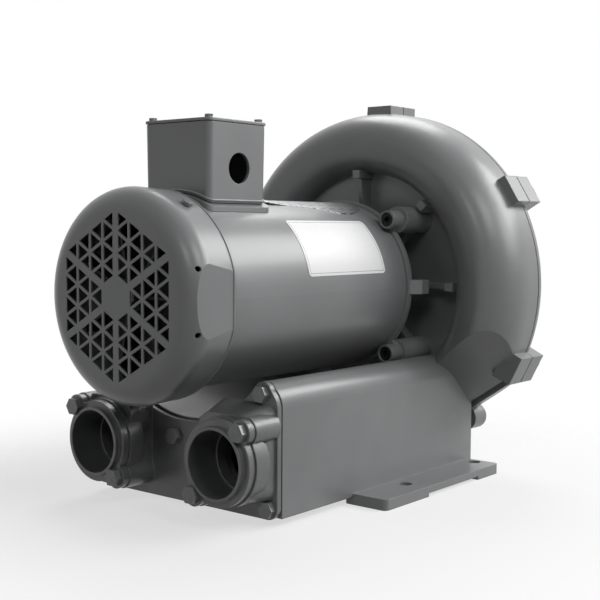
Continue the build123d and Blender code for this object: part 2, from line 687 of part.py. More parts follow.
# Rolled steel shell of the motor
with BuildPart() as motor_shell:
    revolve(ring_face(STATOR_R, SHELL_R, SHELL_FRONT, SHELL_BACK), axis=shaft_axis)
    with BuildSketch(Plane.XY.offset(SHAFT_HEIGHT)):
        with Locations((0, (CONDUIT_BOX_Y0 + CONDUIT_BOX_Y1) / 2)):
            Circle(11)
    extrude(amount=SHELL_R + 5, mode=Mode.SUBTRACT)
save(motor_shell, "motor_shell")

# Drive end bell: ring, spigot, web, bearing seat and four bolted ears outside the shell
DRIVE_BELL_BACK = 0.0
SIDE_LUG_REACH = 95.0
EAR_NOSE_R = 9.0
with BuildPart() as drive_end_bell:
    seat = BACK_BEARING_R
    revolve(
        turned_face(
            (seat + FIT, -8), (seat + 7, -8), (seat + 7, -5), (60, -5), (60, -13), (STATOR_R - FIT, -13),
            (STATOR_R - FIT, SHELL_BACK), (END_RING_R, SHELL_BACK), (END_RING_R, DRIVE_BELL_BACK),
            (60, DRIVE_BELL_BACK), (seat + 7, 6), (seat + 7, 14), (DRIVE_SHAFT_R + 4, 14), (DRIVE_SHAFT_R + 4, 11),
            (seat + FIT, 11),
        ),
        axis=shaft_axis,
    )
    for angle in boss_angles:
        with BuildSketch(facing(DRIVE_BELL_BACK)):
            with PolarLocations(BOSS_CIRCLE_R, 1, start_angle=angle):
                Circle(EAR_NOSE_R)
        extrude(amount=DRIVE_BELL_BACK - EAR_BOLT_FACE)
        with BuildSketch(facing(DRIVE_BELL_BACK)):
            with PolarLocations(BOSS_CIRCLE_R - 8, 1, start_angle=angle):
                Rectangle(16, 2 * EAR_NOSE_R)
        extrude(amount=DRIVE_BELL_BACK - SHELL_BACK)
        with BuildSketch(facing(EAR_BOLT_FACE)):
            with PolarLocations(BOSS_CIRCLE_R, 1, start_angle=angle):
                Circle(4.4)
        extrude(amount=-20, mode=Mode.SUBTRACT)
        with BuildSketch(facing(EAR_BOLT_FACE)):
            with PolarLocations(BOSS_CIRCLE_R, 1, start_angle=angle):
                Circle(7)
        extrude(amount=-9, mode=Mode.SUBTRACT)
    revolve(ring_face(0, SHELL_R + 0.2, EAR_BOLT_FACE, SHELL_BACK), axis=shaft_axis, mode=Mode.SUBTRACT)
    revolve(
        turned_face(
            (seat + FIT, -8), (seat + 7, -8), (seat + 7, -5), (60, -5), (60, -13), (STATOR_R - FIT, -13),
            (STATOR_R - FIT, SHELL_BACK + 0.5), (60, SHELL_BACK + 5), (seat + FIT, SHELL_BACK + 5),
        ),
        axis=shaft_axis,
    )
    for angle in (0, 180):
        with BuildSketch(radial_plane(angle)):
            with BuildLine():
                Polyline((SHELL_R - 4, DRIVE_BELL_BACK - 4), (END_RING_R, DRIVE_BELL_BACK - 4), (SIDE_LUG_REACH, 4),
                         (SIDE_LUG_REACH, 16), (SHELL_R - 4, 16), close=True)
            make_face()
        extrude(amount=7, both=True)
save(drive_end_bell, "drive_end_bell")

# Socket screws that hold the end bell's ears to the housing bosses
with BuildPart() as motor_screws:
    for angle in boss_angles:
        spot_x = BOSS_CIRCLE_R * cos(radians(angle))
        spot_z = SHAFT_HEIGHT + BOSS_CIRCLE_R * sin(radians(angle))
        with BuildSketch(facing(EAR_BOLT_FACE + 9, 0)):
            with Locations((spot_x, spot_z)):
                Circle(6.5)
        extrude(amount=8)
        with BuildSketch(facing(EAR_BOLT_FACE + 9, 0)):
            with Locations((spot_x, spot_z)):
                Circle(4.0)
        extrude(amount=-34)
        with BuildSketch(facing(EAR_BOLT_FACE + 1, 0)):
            with Locations((spot_x, spot_z)):
                RegularPolygon(3, 6, major_radius=False)
        extrude(amount=-5, mode=Mode.SUBTRACT)
save(motor_screws, "motor_screws")

# How far an ear of the fan end bell reaches at this place, just inside the slightly tapered cover
def ear_reach(y):
    rise = (COVER_REAR_Y - y) / (COVER_REAR_Y - COVER_FACE_Y - COVER_EDGE_R)
    return COVER_REAR_R + (COVER_R - COVER_REAR_R) * rise - COVER_T - COVER_EAR_GAP


# Fan end bell: spigot, web, bearing seat and four ears that carry the fan cover
with BuildPart() as fan_end_bell:
    seat = FRONT_BEARING_R
    seat_front = FRONT_BEARING_Y - FRONT_BEARING_W / 2 - 1
    revolve(
        turned_face(
            (seat + FIT, FRONT_BEARING_Y + 8), (seat + 6, FRONT_BEARING_Y + 8), (seat + 6, SHELL_FRONT + 4),
            (STATOR_R - 6, SHELL_FRONT + 4), (STATOR_R - 6, SHELL_FRONT + 10), (STATOR_R - FIT, SHELL_FRONT + 10),
            (STATOR_R - FIT, SHELL_FRONT), (SHELL_R, SHELL_FRONT), (SHELL_R, SHELL_FRONT - 6),
            (seat + 6, SHELL_FRONT - 6), (FRONT_BEARING_BORE_R + 2, SHELL_FRONT - 6),
            (FRONT_BEARING_BORE_R + 2, seat_front), (seat + FIT, seat_front),
        ),
        axis=shaft_axis,
    )
    for angle in COVER_SCREW_ANGLES:
        with BuildSketch(radial_plane(angle)):
            with BuildLine():
                Polyline((FAN_R + 1.5, COVER_SCREW_Y - 6), (ear_reach(COVER_SCREW_Y - 6), COVER_SCREW_Y - 6),
                         (ear_reach(COVER_REAR_Y), COVER_REAR_Y), (ear_reach(COVER_REAR_Y), SHELL_FRONT - 1),
                         (FAN_R - 6, SHELL_FRONT - 1), (FAN_R - 6, SHELL_FRONT - 6), (FAN_R + 1.5, SHELL_FRONT - 8),
                         close=True)
            make_face()
        extrude(amount=5, both=True)
        with BuildSketch(outside_plane(angle, COVER_R)):
            with Locations((COVER_SCREW_Y, 0)):
                Circle(2.5 + SHAFT_FIT)
        extrude(amount=-COVER_R + FAN_R, mode=Mode.SUBTRACT)
save(fan_end_bell, "fan_end_bell")


# Bearing rings: grooved inner and outer rings for a ball of the given radius
def bearing_rings(bore_r, outer_r, width, middle, ball_r):
    pitch = (bore_r + outer_r) / 2
    gap = 0.1
    with BuildPart() as outer:
        revolve(ring_face(pitch + ball_r * 0.55, outer_r, middle - width / 2, middle + width / 2), axis=shaft_axis)
        with BuildSketch(turning):
            with Locations((pitch, middle)):
                Circle(ball_r + gap)
        revolve(axis=shaft_axis, mode=Mode.SUBTRACT)
    with BuildPart() as inner:
        revolve(ring_face(bore_r, pitch - ball_r * 0.55, middle - width / 2, middle + width / 2), axis=shaft_axis)
        with BuildSketch(turning):
            with Locations((pitch, middle)):
                Circle(ball_r + gap)
        revolve(axis=shaft_axis, mode=Mode.SUBTRACT)
    return outer, inner


# Balls of one bearing, each loose in a pocket of the cage that spaces them
def bearing_balls(bore_r, outer_r, middle, ball_r, count):
    pitch = (bore_r + outer_r) / 2
    with BuildPart() as balls:
        revolve(ring_face(pitch - 1.2, pitch + 1.2, middle - ball_r * 1.2, middle + ball_r * 1.2), axis=shaft_axis)
        for step in range(count):
            with BuildSketch(outside_plane(360 / count * step, outer_r)):
                with Locations((middle, 0)):
                    Circle(ball_r + 0.2)
            extrude(amount=-(outer_r - bore_r), mode=Mode.SUBTRACT)
        for step in range(count):
            angle = radians(360 / count * step)
            with Locations((pitch * cos(angle), middle, SHAFT_HEIGHT + pitch * sin(angle))):
                Sphere(ball_r)
    return balls


front_outer, front_inner = bearing_rings(
    FRONT_BEARING_BORE_R, FRONT_BEARING_R, FRONT_BEARING_W, FRONT_BEARING_Y, 3.4
)
back_outer, back_inner = bearing_rings(BACK_BEARING_BORE_R, BACK_BEARING_R, BACK_BEARING_W, BACK_BEARING_Y, 4.0)
save(front_outer, "fan_bearing_outer_ring")
save(front_inner, "fan_bearing_inner_ring")
save(back_outer, "drive_bearing_outer_ring")
save(back_inner, "drive_bearing_inner_ring")
front_balls = bearing_balls(FRONT_BEARING_BORE_R, FRONT_BEARING_R, FRONT_BEARING_Y, 3.4, 8)
back_balls = bearing_balls(BACK_BEARING_BORE_R, BACK_BEARING_R, BACK_BEARING_Y, 4.0, 9)
save(front_balls, "fan_bearing_balls")
save(back_balls, "drive_bearing_balls")

# Lip seal in the housing hub
with BuildPart() as shaft_seal:
    revolve(
        turned_face(
            (DRIVE_SHAFT_R + 0.3, HUB_FRONT + 4), (18 - FIT, HUB_FRONT + 1), (18 - FIT, HUB_FRONT + 8),
            (DRIVE_SHAFT_R + 2, HUB_FRONT + 8),
        ),
        axis=shaft_axis,
    )
save(shaft_seal, "shaft_seal")

# Cooling fan with straight blades, so that it works in both directions
with BuildPart() as cooling_fan:
    revolve(
        turned_face(
            (FAN_SEAT_R, FAN_FRONT), (16, FAN_FRONT), (18, FAN_BACK - 6), (FAN_R - 22, FAN_BACK - 4),
            (FAN_R - 22, FAN_BACK), (FAN_SEAT_R, FAN_BACK),
        ),
        axis=shaft_axis,
    )
    for step in range(FAN_BLADES):
        with BuildSketch(radial_plane(360 / FAN_BLADES * step)):
            with BuildLine():
                Polyline((15, FAN_FRONT + 2), (FAN_R - 16, FAN_FRONT + 2), (FAN_R, FAN_FRONT + 14), (FAN_R, FAN_BACK),
                         (20, FAN_BACK), close=True)
            make_face()
        extrude(amount=1.25, both=True)
save(cooling_fan, "cooling_fan")

# Steel fan cover: rounded drum with a flat on each side and a grille of triangles in its face
cover_turn_y = COVER_FACE_Y + COVER_EDGE_R


# The drum filled solid; a skin of thickness inset is taken off its outside
def fan_cover_drum(inset):
    with BuildPart() as drum:
        with BuildSketch(turning):
            with BuildLine():
                start = Line((0, COVER_FACE_Y + inset), (COVER_R - COVER_EDGE_R, COVER_FACE_Y + inset))
                CenterArc((COVER_R - COVER_EDGE_R, cover_turn_y), COVER_EDGE_R - inset, 270, 90)
                Polyline((COVER_R - inset, cover_turn_y), (COVER_REAR_R - inset, COVER_REAR_Y + inset),
                         (0, COVER_REAR_Y + inset), start @ 0)
            make_face()
        revolve(axis=shaft_axis)
        with BuildSketch(facing(COVER_REAR_Y + 5)):
            Rectangle(2 * (COVER_FLAT_X - inset), 3 * COVER_R)
        extrude(amount=COVER_REAR_Y - COVER_FACE_Y + 10, mode=Mode.INTERSECT)
    return drum.part


# The grille: six sectors of a triangular lattice, parted by three thick bars through the centre
def grille_holes(y):
    pitch = (GRILLE_SIDE_R + GRILLE_THIN_BAR / 2) / GRILLE_ROWS
    side = pitch * 2 / sqrt(3)
    hole_r = side / sqrt(3) - GRILLE_THIN_BAR
    with BuildSketch(facing(y)) as holes:
        for sector in range(6):
            turn = 60 * sector
            for row in range(2, GRILLE_ROWS + 1):
                for place in range(2 * row - 1):
                    outward = place % 2 == 0
                    reach = pitch * (row - 1 / 3 if outward else row - 2 / 3)
                    across = side / 2 * (place - row + 1)
                    x = reach * cos(radians(turn)) - across * sin(radians(turn))
                    z = reach * sin(radians(turn)) + across * cos(radians(turn))
                    with Locations((x, z)):
                        RegularPolygon(hole_r, 3, rotation=turn + (180 if outward else 0))
        with PolarLocations(0, 3, start_angle=30):
            Rectangle(4 * GRILLE_SIDE_R, GRILLE_THICK_BAR, mode=Mode.SUBTRACT)
    return holes.sketch


COVER_CORNER_HOLE_R = 2.2
COVER_CORNER_HOLE_Y = -301.5
COVER_CORNER_HOLE_Z = 26.0
with BuildPart() as fan_cover:
    add(fan_cover_drum(0))
    add(fan_cover_drum(COVER_T), mode=Mode.SUBTRACT)
    extrude(grille_holes(COVER_FACE_Y + COVER_T), amount=COVER_T, mode=Mode.SUBTRACT)
    with BuildSketch(Plane.YZ.offset(COVER_FLAT_X)):
        with Locations((COVER_CORNER_HOLE_Y, SHAFT_HEIGHT)):
            with GridLocations(0, 2 * COVER_CORNER_HOLE_Z, 1, 2):
                Circle(COVER_CORNER_HOLE_R)
    extrude(amount=-2 * COVER_FLAT_X, mode=Mode.SUBTRACT)
    for angle in COVER_SCREW_ANGLES:
        with BuildSketch(outside_plane(angle, COVER_R)):
            with Locations((COVER_SCREW_Y, 0)):
                Circle(2.6)
        extrude(amount=-8, mode=Mode.SUBTRACT)
save(fan_cover, "fan_cover")

with BuildPart() as fan_cover_screws:
    for angle in COVER_SCREW_ANGLES:
        with BuildSketch(outside_plane(angle, COVER_R)):
            with Locations((COVER_SCREW_Y, 0)):
                RegularPolygon(4, 6, major_radius=False)
        extrude(amount=3)
        with BuildSketch(outside_plane(angle, COVER_R)):
            with Locations((COVER_SCREW_Y, 0)):
                Circle(2.5)
        extrude(amount=-10)
save(fan_cover_screws, "fan_cover_screws")

# Conduit box: drafted pressing that sits on a saddle plate shaped to the motor shell
box_mid_y = (CONDUIT_BOX_Y0 + CONDUIT_BOX_Y1) / 2
box_length = CONDUIT_BOX_Y1 - CONDUIT_BOX_Y0
box_z = SHAFT_HEIGHT + SHELL_R - 12
saddle_top = SHELL_R + FIT + CONDUIT_FLANGE_T
gasket_top = saddle_top + 1.0
draft_angle = 0.9


def conduit_block(inset, top):
    with BuildPart() as block:
        with BuildSketch(Plane.XY.offset(box_z)):
            with Locations((0, box_mid_y)):
                RectangleRounded(
                    2 * (CONDUIT_BOX_X - inset), box_length - 2 * inset, max(CONDUIT_CORNER_R - inset, 1)
                )
        extrude(amount=top - box_z, taper=-draft_angle)
    return block.part


# The space inside the box, down to a floor that follows the shell
def conduit_room():
    with BuildPart() as room:
        add(conduit_block(CONDUIT_WALL, CONDUIT_LID_Z + 1))
        with BuildSketch(facing(CONDUIT_BOX_Y1 + 20)):
            Circle(gasket_top + CONDUIT_WALL)
        extrude(amount=box_length + 40, mode=Mode.SUBTRACT)
    return room.part


with BuildPart() as conduit_box:
    add(conduit_block(0, CONDUIT_LID_Z))
    with BuildSketch(facing(CONDUIT_BOX_Y1 + 20)):
        Circle(gasket_top)
    extrude(amount=box_length + 40, mode=Mode.SUBTRACT)
    add(conduit_room(), mode=Mode.SUBTRACT)
    with BuildSketch(Plane.XY.offset(box_z)):
        with Locations((0, box_mid_y)):
            Circle(12)
    extrude(amount=40, mode=Mode.SUBTRACT)
    with BuildSketch(Plane.YZ.offset(CONDUIT_BOX_X + 5)):
        with Locations((CONDUIT_HOLE_Y, CONDUIT_HOLE_Z)):
            Circle(CONDUIT_HOLE_R)
    extrude(amount=-15, mode=Mode.SUBTRACT)
save(conduit_box, "conduit_box")


# A curved plate wrapped over the top of the motor shell
def wrapped_plate(inner_r, outer_r, grow):
    with BuildPart() as plate:
        revolve(
            ring_face(inner_r, outer_r, CONDUIT_BOX_Y0 - grow, CONDUIT_BOX_Y1 + grow),
            axis=shaft_axis,
        )
        with BuildSketch(Plane.XY.offset(SHAFT_HEIGHT + 30)):
            with Locations((0, box_mid_y)):
                RectangleRounded(2 * (CONDUIT_BOX_X + grow), box_length + 2 * grow, 6)
                Circle(12, mode=Mode.SUBTRACT)
        extrude(amount=SHELL_R, mode=Mode.INTERSECT)
    return plate


conduit_saddle = wrapped_plate(SHELL_R + FIT, saddle_top, 4)
save(conduit_saddle, "conduit_saddle")
conduit_gasket = wrapped_plate(saddle_top + SHAFT_FIT, gasket_top - SHAFT_FIT, -1)
save(conduit_gasket, "conduit_gasket")

LID_GASKET_T = 0.6
lid_grow = 1.6
with BuildPart() as lid_gasket:
    with BuildSketch(Plane.XY.offset(CONDUIT_LID_Z)):
        with Locations((0, box_mid_y)):
            RectangleRounded(2 * CONDUIT_BOX_X, box_length, CONDUIT_CORNER_R)
            RectangleRounded(2 * CONDUIT_BOX_X - 8, box_length - 8, 2, mode=Mode.SUBTRACT)
    extrude(amount=LID_GASKET_T)
save(lid_gasket, "lid_gasket")

lid_bottom = CONDUIT_LID_Z + LID_GASKET_T
with BuildPart() as conduit_lid:
    with BuildSketch(Plane.XY.offset(lid_bottom)):
        with Locations((0, box_mid_y)):
            RectangleRounded(2 * (CONDUIT_BOX_X + lid_grow), box_length + 2 * lid_grow, CONDUIT_CORNER_R)
    extrude(amount=CONDUIT_LID_T)
    fillet(conduit_lid.faces().sort_by(Axis.Z)[-1].edges(), 0.8)
save(conduit_lid, "conduit_lid")

with BuildPart() as lid_screws:
    with BuildSketch(Plane.XY.offset(lid_bottom + CONDUIT_LID_T)):
        with Locations((0, box_mid_y)):
            with GridLocations(2 * CONDUIT_BOX_X - 9, box_length - 9, 2, 2):
                Circle(3.6)
    extrude(amount=2.8)
    with BuildSketch(Plane.XY.offset(lid_bottom + CONDUIT_LID_T + 1.2)):
        with Locations((0, box_mid_y)):
            with GridLocations(2 * CONDUIT_BOX_X - 9, box_length - 9, 2, 2):
                Rectangle(8, 1.1)
                Rectangle(1.1, 8)
    extrude(amount=2, mode=Mode.SUBTRACT)
save(lid_screws, "lid_screws")

# Terminal board on the floor of the conduit box
with BuildPart() as terminal_board:
    with BuildSketch(Plane.XY.offset(SHAFT_HEIGHT + gasket_top + CONDUIT_WALL + 0.2)):
        with Locations((-18, box_mid_y)):
            Rectangle(16, 54)
    extrude(amount=9)
    with BuildSketch(Plane.XY.offset(SHAFT_HEIGHT + gasket_top + CONDUIT_WALL + 9)):
        with Locations((-18, box_mid_y)):
            with GridLocations(0, 12, 1, 4):
                Circle(2.5)
    extrude(amount=9)
save(terminal_board, "terminal_board")

# Port manifold: a plate on the muffler box with two angled port bodies, each with a pair of bolted ears
manifold_back = BOX_FRONT - MANIFOLD_GASKET_T
manifold_front = manifold_back - MANIFOLD_T


def collar_bolt_spots():
    return [
        (side * (PORT_X + turn * EAR_X), PORT_Z + turn * EAR_Z) for side in (-1, 1) for turn in (-1, 1)
    ]


def plate_outline(y, inset):
    with BuildSketch(facing(y, 0)) as outline:
        with Locations((0, (BOX_TOP - 1 + PLATE_BOTTOM) / 2)):
            Rectangle(2 * (BOX_HALF - inset), BOX_TOP - 1 - PLATE_BOTTOM)
        fillet(outline.vertices().group_by(Axis.Y)[-1], BOX_EDGE_R)
        fillet(outline.vertices().group_by(Axis.Y)[0], 10)
        with Locations((-TOP_BOLT_X, TOP_BOLT_Z), (TOP_BOLT_X, TOP_BOLT_Z)):
            Circle(CORNER_LOBE_R)
        with Locations((0, SHAFT_HEIGHT)):
            Circle(MANIFOLD_ARCH_R, mode=Mode.SUBTRACT)
    return outline.sketch


with BuildPart() as manifold_gasket:
    extrude(plate_outline(BOX_FRONT, 0.5), amount=MANIFOLD_GASKET_T)
    with BuildSketch(facing(BOX_FRONT, 0)):
        with Locations((-PORT_X, PORT_Z), (PORT_X, PORT_Z)):
            Circle(PORT_BORE_R + 2)
        with Locations(plate_bolts):
            Circle(PLATE_BOLT_R + 0.2)
    extrude(amount=MANIFOLD_GASKET_T, mode=Mode.SUBTRACT)
save(manifold_gasket, "manifold_gasket")

with BuildPart() as port_manifold:
    extrude(plate_outline(manifold_back, 0), amount=MANIFOLD_T)
    for side in (-1, 1):
        with BuildSketch(facing(manifold_front + 1, 0)):
            with Locations((side * (PORT_X - 1), (PORT_BODY_Z0 + PORT_BODY_Z1) / 2)):
                RectangleRounded(2 * PORT_BODY_HALF, PORT_BODY_Z1 - PORT_BODY_Z0, 12)
        with BuildSketch(facing(PORT_FACE_Y + 5, 0)):
            with Locations((side * (PORT_X - 1), PORT_Z + 4)):
                RectangleRounded(2 * PORT_BODY_HALF - 2, 2 * PORT_BODY_HALF + 6, 16)
        loft()
        with BuildSketch(facing(PORT_FACE_Y + 16, 0)):
            with Locations((side * PORT_X, PORT_Z)):
                Circle(PORT_BOSS_R)
        extrude(amount=16)
        # Shallow foundry recess in the outer flank
        with BuildSketch(Plane.YZ.offset(side * (PORT_X + PORT_BODY_HALF + 4))):
            with Locations((FLANK_RECESS_Y, FLANK_RECESS_Z)):
                SlotCenterToCenter(12, 10, rotation=70)
        extrude(amount=-side * FLANK_RECESS_DEPTH, mode=Mode.SUBTRACT)
    with BuildSketch(facing(manifold_front + 1, 0)):
        with Locations(collar_bolt_spots()):
            Circle(EAR_R)
    extrude(amount=manifold_front + 1 - PORT_FACE_Y)
    with BuildSketch(facing(COLLAR_BACK_Y, 0)):
        with Locations((-PORT_X, PORT_Z), (PORT_X, PORT_Z)):
            Circle(COLLAR_R + FIT)
    extrude(amount=COLLAR_BACK_Y - PORT_FACE_Y, mode=Mode.SUBTRACT)
    with BuildSketch(facing(manifold_back, 0)):
        with Locations((-PORT_X, PORT_Z), (PORT_X, PORT_Z)):
            Circle(PASSAGE_R)
    extrude(amount=manifold_back - COLLAR_BACK_Y, mode=Mode.SUBTRACT)
    with BuildSketch(facing(manifold_back, 0)):
        with Locations(plate_bolts):
            Circle(PLATE_BOLT_R + 0.2)
    extrude(amount=MANIFOLD_T, mode=Mode.SUBTRACT)
    with BuildSketch(facing(manifold_front, 0)):
        with Locations(plate_bolts):
            Circle(PLATE_BOLT_ACROSS / 2 + 2.5)
    extrude(amount=40, mode=Mode.SUBTRACT)
    with BuildSketch(facing(PORT_FACE_Y, 0)):
        with Locations(collar_bolt_spots()):
            Circle(5.1)
    extrude(amount=-20, mode=Mode.SUBTRACT)
save(port_manifold, "port_manifold")

collar_seat = PORT_FACE_Y - FIT
ear_face = collar_seat - COLLAR_FLANGE_T
for name, side in (("left_port_collar", -1), ("right_port_collar", 1)):
    with BuildPart() as port_collar:
        with BuildSketch(facing(COLLAR_BACK_Y, 0)):
            with Locations((side * PORT_X, PORT_Z)):
                Circle(COLLAR_R)
        extrude(amount=COLLAR_BACK_Y - COLLAR_FACE_Y)
        with BuildSketch(facing(collar_seat, 0)):
            with Locations((side * PORT_X, PORT_Z)):
                Circle(COLLAR_FLANGE_R)
            with Locations([spot for spot in collar_bolt_spots() if spot[0] * side > 0]):
                Circle(EAR_R - 1)
            with Locations([spot for spot in collar_bolt_spots() if spot[0] * side > 0]):
                Circle(5.1, mode=Mode.SUBTRACT)
        extrude(amount=COLLAR_FLANGE_T)
        with BuildSketch(facing(COLLAR_BACK_Y, 0)):
            with Locations((side * PORT_X, PORT_Z)):
                Circle(PORT_BORE_R)
        extrude(amount=COLLAR_BACK_Y - COLLAR_FACE_Y, mode=Mode.SUBTRACT)
    save(port_collar, name)

with BuildPart() as collar_bolts:
    for x, z in collar_bolt_spots():
        add(hex_bolt_front(x, z, ear_face, 5.0, 25, 14, 6))
save(collar_bolts, "collar_bolts")

with BuildPart() as manifold_bolts:
    for x, z in plate_bolts:
        add(hex_bolt_front(x, z, manifold_front, PLATE_BOLT_R, MANIFOLD_T + 7, PLATE_BOLT_ACROSS, 5))
save(manifold_bolts, "manifold_bolts")

# Foam sleeves that line the two muffler chambers
LINER_T = 10.0
LINER_GAP = 0.3
for name, side in (("left_muffler_foam", -1), ("right_muffler_foam", 1)):
    with BuildPart() as muffler_foam:
        with BuildSketch(facing(BOX_BACK_WALL_Y - 12, 0)) as liner:
            add(box_section(BOX_BACK_WALL_Y - 12, BOX_WALL + LINER_GAP))
            add(box_section(BOX_BACK_WALL_Y - 12, BOX_WALL + LINER_GAP + LINER_T), mode=Mode.SUBTRACT)
            with Locations((-side * BOX_HALF + side * (DIVIDER_T / 2 + LINER_GAP), BOX_TOP / 2)):
                Rectangle(2 * BOX_HALF, 2 * BOX_TOP, mode=Mode.SUBTRACT)
        extrude(amount=BOX_BACK_WALL_Y - 12 - BOX_FRONT - BOX_FRONT_WALL - 1)
    save(muffler_foam, name)

# Bare label on the side of the shell
LABEL_TOP = 51
LABEL_BOTTOM = 10.5
LABEL_Y0 = SHELL_BACK - 151
LABEL_Y1 = SHELL_BACK - 34
with BuildPart() as side_label:
    revolve(
        ring_arc(SHELL_R + SHAFT_FIT, SHELL_R + 0.3, LABEL_Y0, LABEL_Y1, LABEL_TOP),
        axis=shaft_axis,
        revolution_arc=LABEL_TOP - LABEL_BOTTOM,
    )
save(side_label, "side_label")

# Bare metal plate on top of the shell, with a wavy edge and one end that stands off the shell
PLATE_LEFT_X = -30.0
PLATE_T = 0.6
PLATE_LIFT = 2.6
PLATE_LIFT_FROM = -125.0
with BuildPart() as rating_plate:
    revolve(
        turned_face(
            (SHELL_R + SHAFT_FIT, -10), (SHELL_R + SHAFT_FIT + PLATE_T, -10),
            (SHELL_R + SHAFT_FIT + PLATE_T, PLATE_LIFT_FROM), (SHELL_R + PLATE_LIFT + PLATE_T, CONDUIT_BOX_Y1 + 6),
            (SHELL_R + PLATE_LIFT, CONDUIT_BOX_Y1 + 6), (SHELL_R + SHAFT_FIT, PLATE_LIFT_FROM),
        ),
        axis=shaft_axis,
    )
    with BuildSketch(Plane.XY.offset(SHAFT_HEIGHT + 20)):
        with BuildLine():
            edge = Spline((25.6, -163), (28, -125), (33.9, -90), (42.9, -47), (38, -28), (27.1, -10))
            Polyline(edge @ 1, (PLATE_LEFT_X, -10), (PLATE_LEFT_X, -163), edge @ 0)
        make_face()
    extrude(amount=SHELL_R, mode=Mode.INTERSECT)
save(rating_plate, "rating_plate")
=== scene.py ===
import bpy, bmesh, json, math
from mathutils import Matrix, Vector


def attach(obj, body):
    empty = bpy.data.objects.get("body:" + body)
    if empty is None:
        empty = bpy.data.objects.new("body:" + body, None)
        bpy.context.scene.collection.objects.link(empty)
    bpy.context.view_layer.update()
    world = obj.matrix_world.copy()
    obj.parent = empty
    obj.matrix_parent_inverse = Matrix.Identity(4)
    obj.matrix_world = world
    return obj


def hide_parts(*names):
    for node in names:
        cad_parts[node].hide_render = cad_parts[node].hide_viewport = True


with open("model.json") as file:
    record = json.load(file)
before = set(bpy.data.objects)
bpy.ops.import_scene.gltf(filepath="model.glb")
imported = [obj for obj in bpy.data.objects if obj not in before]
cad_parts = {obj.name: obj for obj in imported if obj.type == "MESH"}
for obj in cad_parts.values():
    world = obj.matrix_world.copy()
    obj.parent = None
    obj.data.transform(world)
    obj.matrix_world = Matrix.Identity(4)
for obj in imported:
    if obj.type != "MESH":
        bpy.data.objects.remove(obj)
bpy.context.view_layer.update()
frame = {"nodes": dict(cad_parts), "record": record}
nodes = frame["nodes"]
mm = 0.001
print("frame loaded:", len(nodes), "nodes")


# sRGB hex to the linear colour that the shaders take
def hexColour(code):
    channels = [int(code[i:i + 2], 16) / 255 for i in (1, 3, 5)]
    linear = [c / 12.92 if c <= 0.04045 else ((c + 0.055) / 1.055) ** 2.4 for c in channels]
    return (*linear, 1.0)


# adds a shader node, fills its settings and sockets, and links what is given as a socket;
# a socket is named with _ for each space, or numbered as i0, i1 and so on
def addNode(tree, kind, settings=None, **sockets):
    node = tree.nodes.new(kind)
    for name, value in (settings or {}).items():
        setattr(node, name, value)
    for name, value in sockets.items():
        numbered = name[0] == "i" and name[1:].isdigit()
        socket = node.inputs[int(name[1:])] if numbered else node.inputs[name.replace("_", " ")]
        if isinstance(value, bpy.types.NodeSocket):
            tree.links.new(value, socket)
        else:
            socket.default_value = value
    return node


def addMath(tree, operation, *values):
    sockets = {f"i{number}": value for number, value in enumerate(values)}
    return addNode(tree, "ShaderNodeMath", {"operation": operation}, **sockets).outputs[0]


def addVectorMath(tree, operation, *values):
    sockets = {f"i{number}": value for number, value in enumerate(values)}
    return addNode(tree, "ShaderNodeVectorMath", {"operation": operation}, **sockets)


# one colour over another by a share from 0 to 1
def mixColours(tree, share, under, over):
    return addNode(tree, "ShaderNodeMix", {"data_type": "RGBA"}, i0=share, i6=under, i7=over).outputs[2]


def newMaterial(name):
    material = bpy.data.materials.new(name)
    material.use_nodes = True
    tree = material.node_tree
    tree.nodes.clear()
    output = addNode(tree, "ShaderNodeOutputMaterial")
    shader = addNode(tree, "ShaderNodeBsdfPrincipled")
    tree.links.new(shader.outputs[0], output.inputs[0])
    place = addNode(tree, "ShaderNodeTexCoord").outputs["Object"]
    return material, tree, shader, place


# one grain of noise whose features are about this many millimetres across
def grain(tree, place, size, detail=3.0, rough=0.55):
    return addNode(tree, "ShaderNodeTexNoise", Vector=place, Scale=1 / (size * mm), Detail=detail,
                   Roughness=rough).outputs[0]


# a ramp between two colours, from one value to the next
def ramp(tree, value, start, end):
    node = addNode(tree, "ShaderNodeValToRGB", Fac=value)
    for element, (position, colour) in zip(node.color_ramp.elements, (start, end)):
        element.position = position
        element.color = colour
    return node.outputs[0]


# softens the edges in the shading by this radius in millimetres
def softEdges(tree, radius):
    return addNode(tree, "ShaderNodeBevel", {"samples": 4}, Radius=radius * mm).outputs[0]


def addBump(tree, strength, depth, height, under):
    return addNode(tree, "ShaderNodeBump", Strength=strength, Distance=depth * mm, Height=height,
                   Normal=under).outputs[0]


# what all the enamels share: where the noise turns from tone to tone, and depths in millimetres
enamelCoat = {
    "toneFrom": 0.35, "toneTo": 0.68, "dustFrom": 0.62, "dustTo": 0.80,
    "glossBelow": 0.04, "glossAbove": 0.06, "peelDepth": 0.1, "sandDepth": 0.35,
}


